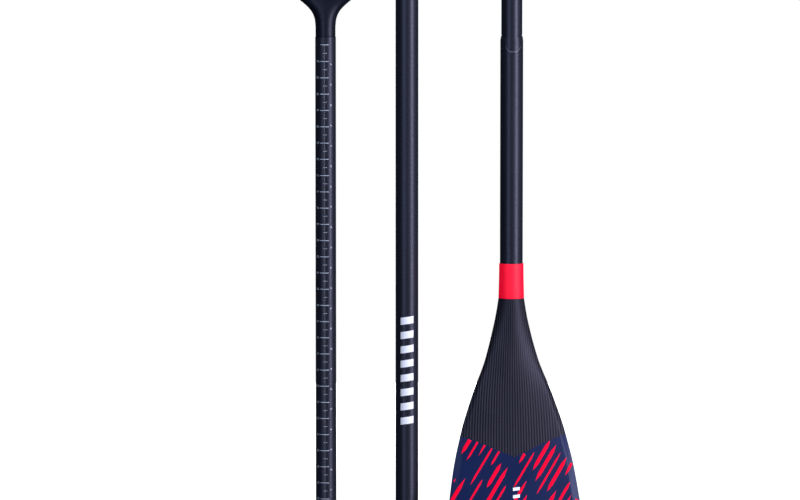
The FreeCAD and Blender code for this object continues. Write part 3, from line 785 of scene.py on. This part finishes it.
# A painted highlight along the collar's tongue, where its raised edge catches the light: flat across
# its tip, then rising at both sides.
SEAM_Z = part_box("ferrule_collar")[0].z + 1.6 * MM
SEAM_RISE = 6.0 * MM
SEAM_HALF = 0.3 * MM
TONGUE_TIP, TONGUE_BASE = 4.9 * MM, 10.4 * MM
front_line = MIDDLE_RADIUS * BLADE_YAW
seam = TubePrint(BLADE_X, MIDDLE_RADIUS + 2 * LIFT)
for side in (-1, 1):
    tip, base = front_line + side * TONGUE_TIP, front_line + side * TONGUE_BASE
    seam.patch(front_line, tip, SEAM_Z - SEAM_HALF, SEAM_Z + SEAM_HALF)
    seam.patch(tip, base, SEAM_Z - SEAM_HALF, SEAM_Z + SEAM_HALF, SEAM_RISE)
seam.build("collar_seam_painted_highlight", seam_painted_highlight, "blade_section")

# Plain slanted bars down the blade's front, in millimetres.
BAR_COUNT, BAR_TOP, BAR_PITCH = 8, 243.0, 9.0
BAR_CORNERS = ((-2.5, 0.0), (6.0, 1.0), (6.0, 5.0), (-2.5, 4.0))
BAR_LIFT = 0.12 * MM
bar_verts, bar_faces = [], []
for index in range(BAR_COUNT):
    low = (BAR_TOP - BAR_PITCH * index) * MM
    for right, up in BAR_CORNERS:
        x, z = np.array([right * MM]), np.array([low + up * MM])
        bar_verts.extend(in_row(x, front_y(x, z) - BAR_LIFT, z))
    bar_faces.append(tuple(range(4 * index, 4 * index + 4)))
blade_marks = mesh_object(
    "blade_marks", bar_verts, bar_faces, mark_ink, "blade_section", False,
)
solidify(blade_marks, PRINT_THICKNESS, 1.0)


# ---- palm grip ----------------------------------------------------------------------

GRIP = np.array([
    # height, half width, half depth
    (799.6, 12.24, 12.24), (806, 12.24, 12.24), (812, 12.3, 12.26), (818, 12.8, 12.3),
    (822, 13.4, 12.4), (825, 14.4, 12.5), (828, 15.6, 12.6), (832.2, 18.2, 12.8),
    (837.1, 22.6, 12.9), (842, 28.15, 13.0), (845, 31.9, 13.1), (849, 37.0, 13.4),
    (853, 43.2, 13.8), (857, 49.4, 14.2), (861, 54.6, 14.5), (865, 57.8, 14.7),
    (869, 59.0, 14.8), (873, 58.6, 14.6), (877, 56.8, 14.0), (881, 53.4, 13.0),
    (884.5, 48.8, 11.8), (887.5, 43.0, 10.4), (890, 35.6, 8.7), (891.8, 28.0, 6.9),
    (893, 20.0, 5.0), (893.7, 12.0, 3.0), (894, 4.0, 1.2),
]) * MM
PALM_START = 830 * MM
PALM_BLEND = 30 * MM
PALM_SQUARENESS = 0.35
SEGMENTS = 96
grip_line = spline_through(GRIP, 5)
verts, faces = [], []
for height, wide, deep in grip_line:
    bulge = 2.0 + PALM_SQUARENESS * smooth((height - PALM_START) / PALM_BLEND)
    for i in range(SEGMENTS):
        a = 2 * math.pi * i / SEGMENTS
        c, s = math.cos(a), math.sin(a)
        x = wide * np.sign(c) * abs(c) ** (2 / bulge)
        y = deep * np.sign(s) * abs(s) ** (2 / bulge)
        verts.append((HANDLE_X + x, y, height))
last_row = (len(grip_line) - 1) * SEGMENTS
for row in range(0, last_row, SEGMENTS):
    for i in range(SEGMENTS):
        j = (i + 1) % SEGMENTS
        faces.append((row + i, row + j, row + SEGMENTS + j, row + SEGMENTS + i))
faces.append(tuple(last_row + i for i in range(SEGMENTS)))
faces.append(tuple(reversed(range(SEGMENTS))))
grip = mesh_object("grip", verts, faces, grip_plastic, "handle_section")
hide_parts("palm_grip")


# ---- neck sleeve --------------------------------------------------------------------

low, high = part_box("neck_sleeve")
bottom_radius = (high.x - low.x) / 2
SLEEVE_BORE = 14.1 * MM
SLEEVE = [
    (SLEEVE_BORE, low.z + 0.2 * MM),
    (bottom_radius - 0.5 * MM, low.z),
    (bottom_radius - 0.1 * MM, low.z + 0.3 * MM),
    (bottom_radius, low.z + 1.0 * MM),
    (15.45 * MM, low.z + 14 * MM),
    (15.15 * MM, low.z + 28 * MM),
    (15.0 * MM, high.z - 1.0 * MM),
    (14.9 * MM, high.z - 0.25 * MM),
    (14.6 * MM, high.z),
    (SLEEVE_BORE, high.z - 0.2 * MM),
]
sleeve = turned_mesh("red_sleeve", BLADE_X, SLEEVE, sleeve_red, "blade_section")
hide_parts("neck_sleeve")


# ---- materials on the CAD nodes that stay -------------------------------------------

FINISHES = {
    "mid_shaft": middle_carbon, "mid_float_plug": foam, "extension_tube": handle_carbon,
    "extension_end_plug": clamp_plastic, "clamp_bush": nylon, "clamp_collar": clamp_plastic,
    "clamp_bolt": steel, "cam_saddle": nylon, "clamp_lever": clamp_plastic, "lever_pivot_pin": steel,
    "clamp_nut": anodised, "ferrule_tube": blade_carbon, "ferrule_end_cap": rubber,
    "snap_button": steel, "button_spring": steel, "ferrule_collar": blade_carbon,
    "blade_shaft": blade_carbon, "shaft_float_plug": foam, "blade_core": foam,
}
for name, material in FINISHES.items():
    nodes[name].data.materials.clear()
    nodes[name].data.materials.append(material)


# ---- stage, light and camera --------------------------------------------------------

scene = bpy.context.scene
scene.view_settings.view_transform = "Standard"
scene.view_settings.look = "None"

world = bpy.data.worlds.new("studio")
scene.world = world
world.use_nodes = True
tree = world.node_tree
background = tree.nodes["Background"]
path_node = tree.nodes.new("ShaderNodeLightPath")
tone = tree.nodes.new("ShaderNodeMix")
tone.data_type = "RGBA"
tone.inputs[6].default_value = (0.035, 0.036, 0.055, 1)
tone.inputs[7].default_value = (1, 1, 1, 1)
tree.links.new(path_node.outputs["Is Camera Ray"], tone.inputs[0])
tree.links.new(tone.outputs[2], background.inputs["Color"])

floor_paint = Graph("floor_paint", Roughness=0.9, Specular_IOR_Level=0.0)
distance = floor_paint.node("ShaderNodeVectorMath", operation="LENGTH")
floor_paint.feed(distance.inputs[0], floor_paint.place())
cloud = floor_paint.noise(floor_paint.place(), 3.0, 2.0)
floor_paint.set("Base Color", floor_paint.mix(cloud, (0.14, 0.14, 0.14), (0.16, 0.16, 0.16)))
floor_paint.set("Emission Color", (1.0, 1.0, 1.0))
glow = floor_paint.steps(distance.outputs["Value"], 0.8, 1.6)
floor_paint.set("Emission Strength", floor_paint.blend(glow, 0.97, 1.0))
bpy.ops.mesh.primitive_plane_add(size=160, location=(0, 0, -0.0005))
floor = bpy.context.object
floor.name = "floor"
floor.data.materials.append(floor_paint.material)
floor.visible_glossy = False
floor.visible_diffuse = False
floor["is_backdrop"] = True


def softbox(name, azimuth, distance, height, size, power, colour=(1, 1, 1), aim=0.5):
    """Area light at an azimuth (0 in front, 90 to the right), aimed at the object's middle."""
    data = bpy.data.lights.new(name, "AREA")
    data.shape = "RECTANGLE"
    data.size, data.size_y = size
    data.energy = power
    data.color = colour
    ob = bpy.data.objects.new(name, data)
    a = math.radians(azimuth)
    ob.location = (distance * math.sin(a), -distance * math.cos(a), height)
    ob.rotation_euler = (Vector((0, 0, aim)) - ob.location).to_track_quat("-Z", "Y").to_euler()
    scene.collection.objects.link(ob)
    ob.visible_camera = False
    return ob


softbox("key", 53, 2.3, 0.75, (0.42, 3.0), 120, (0.86, 0.85, 1.0))
softbox("fill", -29, 2.4, 0.75, (0.60, 2.6), 30, (0.62, 0.76, 1.0))
softbox("top", 10, 0.9, 3.2, (2.6, 2.6), 40)
rear = softbox("rear", 180, 3.0, 1.0, (0.9, 2.4), 170)
rear.visible_glossy = False

CAMERA_X = -0.0085
CAMERA_DISTANCE = 6.0
CAMERA_HEIGHT = 1.08
AIM_HEIGHT = 0.5372
camera_data = bpy.data.cameras.new("camera")
camera_data.lens = 220.3
camera_data.sensor_width = 36
camera = bpy.data.objects.new("camera", camera_data)
camera.location = (CAMERA_X, -CAMERA_DISTANCE, CAMERA_HEIGHT)
target = Vector((CAMERA_X, 0, AIM_HEIGHT))
camera.rotation_euler = (target - camera.location).to_track_quat("-Z", "Y").to_euler()
scene.collection.objects.link(camera)
scene.camera = camera

low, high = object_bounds()
